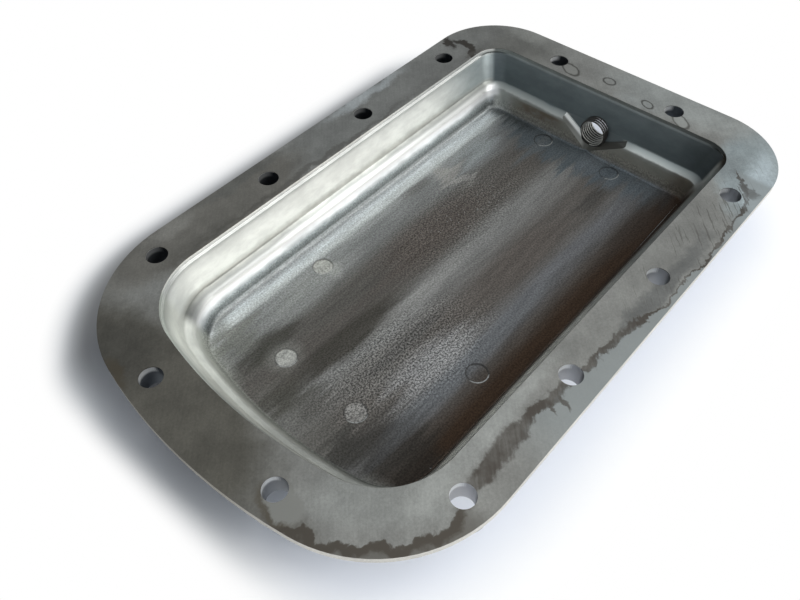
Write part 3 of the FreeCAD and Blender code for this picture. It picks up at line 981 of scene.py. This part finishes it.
cloud_noise = noise(tree, plan_position, 0.06, 4.0, 0.6)
cloud_light = smooth_step(tree, cloud_noise, 0.3, 0.7, 0.86, 1.14)
fine_light = smooth_step(tree, grain_noise, 0.25, 0.75, 0.9, 1.1)
flange_colour = in_light(tree, flange_colour, product(tree, cloud_light, fine_light))
print("flange stains:", len(flange_stains_and_reflection))

# %% [markdown]
# Wiping left fine scratches across the flange, all leaning the same way. A noise that is
# stretched about twenty times along that lean looks like them. The same noise later gives
# the tide line its barbs.

# %% Metal: wiping scratches
SCRATCH_LEAN = 44.0

small_shift = shifted(tree, plan_position, (0.4, 0.4, 0.4), 1.0, (0.9, 0.9, 0.0))
turned = add_node(tree, "ShaderNodeMapping", vector_type="POINT")
connect(tree, small_shift, turned.inputs["Vector"])
turned.inputs["Rotation"].default_value = (0.0, 0.0, math.radians(-SCRATCH_LEAN))
along_scratches = stretched(tree, turned.outputs["Vector"], (0.06, 1.15, 0.0))
scratch_noise = noise(tree, along_scratches, 1.0, 2.0, 0.5)
scratch_light = smooth_step(tree, scratch_noise, 0.35, 0.65, 0.97, 1.03)
flange_colour = in_light(tree, flange_colour, scratch_light)
scratched = patch_mask(tree, ragged_position, 60.0, -79.0, 0.0, 52.0, 9.0, 0.3, 1.0)
scratched_more = patch_mask(tree, ragged_position, 72.0, -80.0, 0.0, 16.0, 7.0, 0.4, 0.05)
scratch_level = arithmetic(tree, "ADD", scratch_noise, scratched_more)
dark_scratches = product(tree, smooth_step(tree, scratch_level, 0.58, 0.66, 0.0, 0.65), scratched)
flange_colour = cover(tree, flange_colour, (0.130, 0.126, 0.112), dark_scratches)
print("scratches lean", SCRATCH_LEAN, "degrees")

# %% [markdown]
# Along the right side dried oil left a dark tide line, and outside it the metal was washed paler.
# Such a line has no rule, so two drawn curves hold where it runs across the flange and how wide it
# is.

# %% Metal: the tide line along the right side
ragged_x, ragged_y = split(tree, ragged_position)[:2]
barbs = arithmetic(tree, "MULTIPLY", minus(tree, scratch_noise, 0.5), 1.6)
line_points = (
    (-95, -79), (-85, -78.5), (-72, -78), (-62, -77.5), (-52, -77.5), (-42, -79), (-36, -80),
    (-20, -80.5), (-10, -81.5), (0, -83), (8, -85), (14, -86.3), (25, -87.3), (40, -87.8),
    (60, -87.6), (75, -87.2), (88, -86), (96, -82), (102, -77), (105, -73),
)
line_widths = (
    (-95, 2.2), (-80, 2.9), (-60, 2.7), (-48, 1.6), (-38, 2.3), (-30, 1.1), (-22, 1.5), (-15, 1),
    (-5, 1.6), (5, 1.4), (12, 0.9), (20, 0.5), (60, 0.6), (85, 0.9), (95, 1.2), (102, 1.3),
    (105, 0.3),
)
line_y = curve(tree, ragged_x, line_points, -90, -70)
line_width = curve(tree, ragged_x, line_widths, 0, 4)
outward_of_line = arithmetic(tree, "ADD", minus(tree, line_y, ragged_y), barbs)
line_fade = between(tree, x, -97.0, -91.0, 104.0, 108.0)
washed = product(
    tree,
    smooth_step(tree, outward_of_line, 0.0, 0.8),
    smooth_step(tree, x, -75.0, -40.0),
    line_fade,
)
flange_colour = cover(tree, flange_colour, (0.345, 0.372, 0.368), washed, 0.75)
off_line = arithmetic(tree, "DIVIDE", arithmetic(tree, "ABSOLUTE", outward_of_line), line_width)
line_cloud = arithmetic(tree, "MULTIPLY_ADD", scratch_noise, 0.3, cloud_noise)
line_body = smooth_step(tree, line_cloud, 0.5, 0.8, 0.95, 0.6)
line_mask = product(tree, smooth_step(tree, off_line, 0.6, 1.35), -1.0)
line_mask = product(tree, arithmetic(tree, "ADD", line_mask, 1.0), line_body, line_fade)
flange_colour = cover(tree, flange_colour, (0.098, 0.085, 0.072), line_mask)
print("tide line points:", len(line_points))

# %% [markdown]
# Round the near right corner the same oil dried in scallops. Its edge is a curve too, drawn
# by angle round a point inside the pan: how far out the clean metal reaches.

# %% Metal: the scalloped stain round the near right corner
SCALLOP_CENTRE = (-75.0, -30.0, 0.0)
corner_x, corner_y = split(tree, vector_minus(tree, ragged_position, SCALLOP_CENTRE))[:2]
corner_reach = vector_length(tree, joined(tree, corner_x, corner_y))
corner_angle = arithmetic(
    tree,
    "ARCTAN2",
    arithmetic(tree, "MULTIPLY", corner_y, -1.0),
    arithmetic(tree, "MULTIPLY", corner_x, -1.0),
)
corner_angle = arithmetic(tree, "DEGREES", corner_angle)
scallops = (
    (0, 58), (8, 58), (14, 59.5), (19, 57), (24, 60), (30, 58), (35, 60), (41, 57.5),
    (47, 59.5), (53, 57), (60, 57), (68, 54), (76, 50.5), (84, 49), (90, 49),
)
beyond_edge = minus(tree, corner_reach, curve(tree, corner_angle, scallops, 40, 65))
corner_fade = between(tree, corner_angle, 2.0, 12.0, 66.0, 80.0)
dulled = product(tree, smooth_step(tree, beyond_edge, 0.0, 1.2, 0.0, 0.85), corner_fade)
flange_colour = cover(tree, flange_colour, (0.170, 0.160, 0.140), dulled)
dark_edge = product(tree, between(tree, beyond_edge, -0.4, 0.6, 2.8, 5.2), corner_fade, 0.88)
flange_colour = cover(tree, flange_colour, (0.100, 0.086, 0.070), dark_edge)
print("scallop points:", len(scallops))

# %% [markdown]
# What is left on the flange is small: the dark run in the far left corner, a dark line along the
# left rim, drips off the tide line, and water drops that dried with a dark outline.

# %% Metal: small stains, drips and drops
small_stains = (
    ("dark run, outer", (103, 85.6, 62, 6.4, 2.1, 0.3, 0.95), (0.05, 0.044, 0.036)),
    ("dark run, knee", (107.6, 80, 108, 5.6, 2, 0.3, 0.95), (0.05, 0.044, 0.036)),
    ("dark run, middle", (106.5, 75, 62, 5.4, 1.7, 0.3, 0.95), (0.055, 0.048, 0.04)),
    ("dark run, inner", (103, 70.2, 60, 5.6, 1.5, 0.3, 0.95), (0.06, 0.053, 0.044)),
    ("dark line along the left rim", (-12, 69.4, 0, 64, 1.3, 0.6, 0.55), (0.11, 0.104, 0.09)),
    ("dark line along the far left rim", (103, 69.2, 0, 7, 1.3, 0.6, 0.6), (0.11, 0.104, 0.09)),
    ("brown spot on the bowed end", (-133.5, 43, 75, 6.5, 2.2, 0.5, 0.7), (0.105, 0.088, 0.062)),
    ("brown edge of the pale run", (-129.3, -36.6, 80, 8, 5.8, 0.18, 0.75), (0.135, 0.118, 0.09)),
    ("pale run below a bolt hole", (-128.3, -38.2, 80, 7, 5, 0.2, 0.85), (0.33, 0.33, 0.305)),
    ("pale drop by the far left hole", (123.6, 23.5, 65, 5.4, 3, 0.15, 0.5), (0.33, 0.328, 0.3)),
    ("pale drop by the far right hole", (121.5, -38, 55, 5.5, 2.6, 0.2, 0.6), (0.44, 0.45, 0.42)),
    ("dark smudge outside the last hole", (97.5, -82.5, 60, 5, 1.6, 0.4, 0.7), (0.14, 0.14, 0.132)),
    ("drip off the tide line", (-40.5, -83, 70, 3, 0.9, 0.3, 0.8), (0.115, 0.102, 0.088)),
    ("second drip", (-45.5, -81, 60, 2.6, 0.8, 0.3, 0.8), (0.115, 0.102, 0.088)),
)
flange_colour = paint(tree, flange_colour, ragged_position, small_stains)
drop_rings = (
    ("dried drop", (127.2, 3.5, 80, 3.2, 2.4, 0.3, 0.9), (0.07, 0.067, 0.06)),
    ("second dried drop", (122.8, -20, 65, 3.5, 2, 0.3, 0.9), (0.07, 0.067, 0.06)),
    ("edge of the drop by the hole", (123.6, 23.5, 65, 5.6, 3.2, 0.26, 0.9), (0.08, 0.077, 0.067)),
    ("edge of the other drop", (121.5, -38, 55, 5.7, 2.8, 0.26, 0.8), (0.1, 0.098, 0.086)),
)
flange_colour = draw_rings(tree, flange_colour, small_shift, drop_rings)
print("small stains:", len(small_stains), "and drops:", len(drop_rings))

# %% [markdown]
# The twelve bolt bores are deep and narrow, and their colour is painted light and shade. The left
# ones are painted nearly black and the right ones grey, and each has a painted highlight at the top
# of the side that faces the window and painted shade on the side across from it.
# Two bolt rows along the sides and two across the ends give the distance to the nearest bore.

# %% Metal: the bolt bores
SIDE_ROW_Y = 78.2
SIDE_PITCH = 60.0
END_ROW_X = 126.55
END_ROW_Y = 32.1
ROW_SHIFT_X = 0.5
END_SHIFT_X = 0.25

along_row = arithmetic(tree, "WRAP", minus(tree, x, ROW_SHIFT_X), SIDE_PITCH, 0.0)
along_row = minus(tree, along_row, SIDE_PITCH / 2.0)
off_side_row = minus(tree, across, SIDE_ROW_Y)
off_end_x = arithmetic(tree, "ABSOLUTE", arithmetic(tree, "ADD", x, END_SHIFT_X))
off_end_x = minus(tree, off_end_x, END_ROW_X)
off_end_y = minus(tree, across, END_ROW_Y)
bolt_distance = arithmetic(
    tree,
    "MINIMUM",
    vector_length(tree, joined(tree, along_row, off_side_row)),
    vector_length(tree, joined(tree, off_end_x, off_end_y)),
)
bore_zone = product(
    tree,
    smooth_step(tree, bolt_distance, 4.6, 4.9, 1.0, 0.0),
    smooth_step(tree, z, 31.0, 31.3, 1.0, 0.0),
)
# Painted shade inside the bores: nearly black on the left, grey on the right.
bore_shade_bands = (
    (-100, (0.45, 0.45, 0.46)),
    (-60, (0.27, 0.28, 0.29)),
    (0, (0.13, 0.145, 0.16)),
    (56, (0.06, 0.065, 0.07)),
    (100, (0.045, 0.05, 0.055)),
)
bore_light_and_shade = bands(tree, arithmetic(tree, "MULTIPLY_ADD", x, 0.25, y), bore_shade_bands)
# Painted highlight at the top of the side facing the window, and painted shade across from it.
bore_highlight = product(tree, smooth_step(tree, facing_y, -0.35, -0.75), smooth_step(tree, z, 28.0, 29.6))
bore_highlight_strength = smooth_step(tree, y, 60.0, 76.0, 0.95, 0.3)
bore_light_and_shade = cover(tree, bore_light_and_shade, (0.85, 0.86, 0.86), bore_highlight, bore_highlight_strength)
shaded_side = smooth_step(tree, facing_y, 0.35, 0.75, 0.0, 0.8)
bore_light_and_shade = cover(tree, bore_light_and_shade, (0.07, 0.07, 0.075), shaded_side)
print("bore rows at y", SIDE_ROW_Y, "and x", END_ROW_X)

# %% [markdown]
# The outside is plain casting that nobody polished. The machined edge of the flange is painted
# lighter on the right, which faces the window, and darker on the left, as painted light and shade.
# Last, all zones come together in one colour.
# Bare aluminium is metallic, and the grain also lifts the surface a little.

# %% Metal: the outside, and everything together
METAL_ROUGHNESS = 0.5
GRAIN_HEIGHT = 0.00004

# Painted light and shade on the flange edge: light on the window side, dark on the left.
edge_light_and_shade_bands = (
    (-60, (0.64, 0.63, 0.59)),
    (-20, (0.25, 0.24, 0.21)),
    (30, (0.15, 0.14, 0.12)),
    (80, (0.16, 0.155, 0.14)),
)
flange_edge = smooth_step(tree, z, 26.0, 26.6)
outside_colour = mix_colour(tree, flange_edge, (0.38, 0.385, 0.38, 1.0), bands(tree, y, edge_light_and_shade_bands))
outside_grain = smooth_step(tree, wall_cloud, 0.3, 0.7, 0.88, 1.08)
outside_colour = in_light(tree, outside_colour, product(tree, outside_grain, fine_light))

pan_colour = mix_colour(tree, outside, wall_colour, outside_colour)
pan_colour = mix_colour(tree, floor_zone, pan_colour, floor_colour)
pan_colour = mix_colour(tree, bore_mask, pan_colour, bore_shade_lines)
pan_colour = mix_colour(tree, bore_zone, pan_colour, bore_light_and_shade)
pan_colour = mix_colour(tree, flange_zone, pan_colour, flange_colour)
connect(tree, pan_colour, shader.inputs["Base Color"])
connect(tree, smooth_step(tree, bore_mask, 0.0, 1.0, 0.9, 0.3), shader.inputs["Metallic"])
shader.inputs["Roughness"].default_value = METAL_ROUGHNESS

cast_skin = smooth_step(tree, z, 31.0, 31.3, 0.6, 0.15)
grain_bump = add_node(tree, "ShaderNodeBump")
grain_bump.inputs["Distance"].default_value = GRAIN_HEIGHT
connect(tree, cast_skin, grain_bump.inputs["Strength"])
connect(tree, grain_noise, grain_bump.inputs["Height"])
connect(tree, grain_bump.outputs["Normal"], shader.inputs["Normal"])
pan.data.materials.clear()
pan.data.materials.append(metal)
print("material:", metal.name, "with", len(tree.nodes), "nodes")

# %% [markdown]
# The drain hole is tapped, so the plug's thread shows in it. A thread is one ridge that
# follows a helix: a rule, so Geometry Nodes make it. A spiral curve carries a small
# trapezoid, wide at its root, and the result is turned to lie along the hole.

# %% Thread in the drain hole: the tree
THREAD_SIZES_MM = {
    "Root Radius": DRAIN_R + 0.03,
    "Crest Radius": DRAIN_R - 0.65,
    "Pitch": THREAD_PITCH,
    "Root Width": 0.9,
    "Crest Width": 0.3,
}
THREAD_TURNS = 7.1
THREAD_STEPS = 40
THREAD_START = Vector((108.9, DRAIN_Y, DRAIN_Z)) / MM_PER_METRE

thread_tree = bpy.data.node_groups.new("screw_thread", "GeometryNodeTree")
add_socket(thread_tree, "Geometry", "Geometry")
sockets = {name: add_socket(thread_tree, name, "Float") for name in THREAD_SIZES_MM}
turns_socket = add_socket(thread_tree, "Turns", "Float")
start_socket = add_socket(thread_tree, "Start", "Vector")
add_socket(thread_tree, "Geometry", "Geometry", "OUTPUT")
given, result = ends(thread_tree)

helix = add_node(thread_tree, "GeometryNodeCurveSpiral")
helix.inputs["Resolution"].default_value = THREAD_STEPS
middle_radius = arithmetic(thread_tree, "ADD", given["Root Radius"], given["Crest Radius"])
middle_radius = arithmetic(thread_tree, "MULTIPLY", middle_radius, 0.5)
connect(thread_tree, given["Turns"], helix.inputs["Rotations"])
connect(thread_tree, middle_radius, helix.inputs["Start Radius"])
connect(thread_tree, middle_radius, helix.inputs["End Radius"])
connect(thread_tree, product(thread_tree, given["Turns"], given["Pitch"]), helix.inputs["Height"])
upright = add_node(thread_tree, "GeometryNodeSetCurveNormal", mode="Z_UP")
connect(thread_tree, helix.outputs["Curve"], upright.inputs["Curve"])

ridge = add_node(thread_tree, "GeometryNodeCurvePrimitiveQuadrilateral", mode="TRAPEZOID")
depth = minus(thread_tree, given["Root Radius"], given["Crest Radius"])
connect(thread_tree, depth, ridge.inputs["Height"])
connect(thread_tree, given["Root Width"], ridge.inputs["Bottom Width"])
connect(thread_tree, given["Crest Width"], ridge.inputs["Top Width"])
ridge.inputs["Offset"].default_value = 0.0
sweep = add_node(thread_tree, "GeometryNodeCurveToMesh")
connect(thread_tree, upright.outputs["Curve"], sweep.inputs["Curve"])
connect(thread_tree, ridge.outputs["Curve"], sweep.inputs["Profile Curve"])
sweep.inputs["Fill Caps"].default_value = True
lay_down = add_node(thread_tree, "GeometryNodeTransform")
connect(thread_tree, sweep.outputs["Mesh"], lay_down.inputs["Geometry"])
connect(thread_tree, given["Start"], lay_down.inputs["Translation"])
lay_down.inputs["Rotation"].default_value = (0.0, math.radians(90.0), 0.0)
realized = add_node(thread_tree, "GeometryNodeRealizeInstances")
connect(thread_tree, lay_down.outputs["Geometry"], realized.inputs["Geometry"])
coated = add_node(thread_tree, "GeometryNodeSetMaterial")
connect(thread_tree, realized.outputs["Geometry"], coated.inputs["Geometry"])
connect(thread_tree, coated.outputs["Geometry"], result["Geometry"])
print("geometry tree:", thread_tree.name, "with", len(thread_tree.nodes), "nodes")

# %% [markdown]
# The tree runs once on an empty object. Its result is kept as a plain mesh, because the finished
# piece must not depend on a modifier. The thread's grooves are painted dark as shade and only its
# crests shine as bright metal, so its material goes by the distance from the middle of the hole.

# %% Thread in the drain hole: the piece
THREAD_ROUGHNESS = 0.45

cut_metal = bpy.data.materials.new("cut_thread")
cut_metal.use_nodes = True
cut_shader = cut_metal.node_tree.nodes["Principled BSDF"]
cut_tree = cut_metal.node_tree
across_hole = vector_minus(cut_tree, millimetres(cut_tree), (0.0, DRAIN_Y, DRAIN_Z))
across_hole = stretched(cut_tree, across_hole, (0.0, 1.0, 1.0))
# Painted shade in the thread's grooves; only the crests are bright metal.
on_crest = smooth_step(cut_tree, vector_length(cut_tree, across_hole), 6.38, 6.48, 1.0, 0.0)
cut_colour = mix_colour(cut_tree, on_crest, (0.035, 0.033, 0.030, 1.0), (0.60, 0.60, 0.56, 1.0))
connect(cut_tree, cut_colour, cut_shader.inputs["Base Color"])
crest_shine = smooth_step(cut_tree, on_crest, 0.0, 1.0, 0.2, 0.9)
connect(cut_tree, crest_shine, cut_shader.inputs["Metallic"])
cut_shader.inputs["Roughness"].default_value = THREAD_ROUGHNESS
coated.inputs["Material"].default_value = cut_metal

carrier = bpy.data.objects.new("thread_carrier", bpy.data.meshes.new("empty_mesh"))
bpy.context.scene.collection.objects.link(carrier)
modifier = carrier.modifiers.new("thread", "NODES")
modifier.node_group = thread_tree
for size_name, size in THREAD_SIZES_MM.items():
    modifier[sockets[size_name].identifier] = size / MM_PER_METRE
modifier[turns_socket.identifier] = THREAD_TURNS
modifier[start_socket.identifier] = THREAD_START
evaluated = carrier.evaluated_get(bpy.context.evaluated_depsgraph_get())
thread_mesh = bpy.data.meshes.new_from_object(evaluated)
carrier.modifiers.remove(modifier)
bpy.data.objects.remove(carrier)
thread = bpy.data.objects.new("drain_thread", thread_mesh)
bpy.context.scene.collection.objects.link(thread)
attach(thread, "root")
corners = [vertex.co - THREAD_START for vertex in thread_mesh.vertices]
radii = [math.hypot(corner.y, corner.z) for corner in corners]
lengths = [corner.x for corner in corners]
print("thread:", len(thread_mesh.polygons), "faces")
print("thread radius from", round(min(radii), 5), "to", round(max(radii), 5))
print("thread length", round(max(lengths) - min(lengths), 4))

# %% [markdown]
# The Standard view shows colours as they are written, so what was matched stays matched.

# %% Finish
bpy.context.scene.view_settings.view_transform = "Standard"
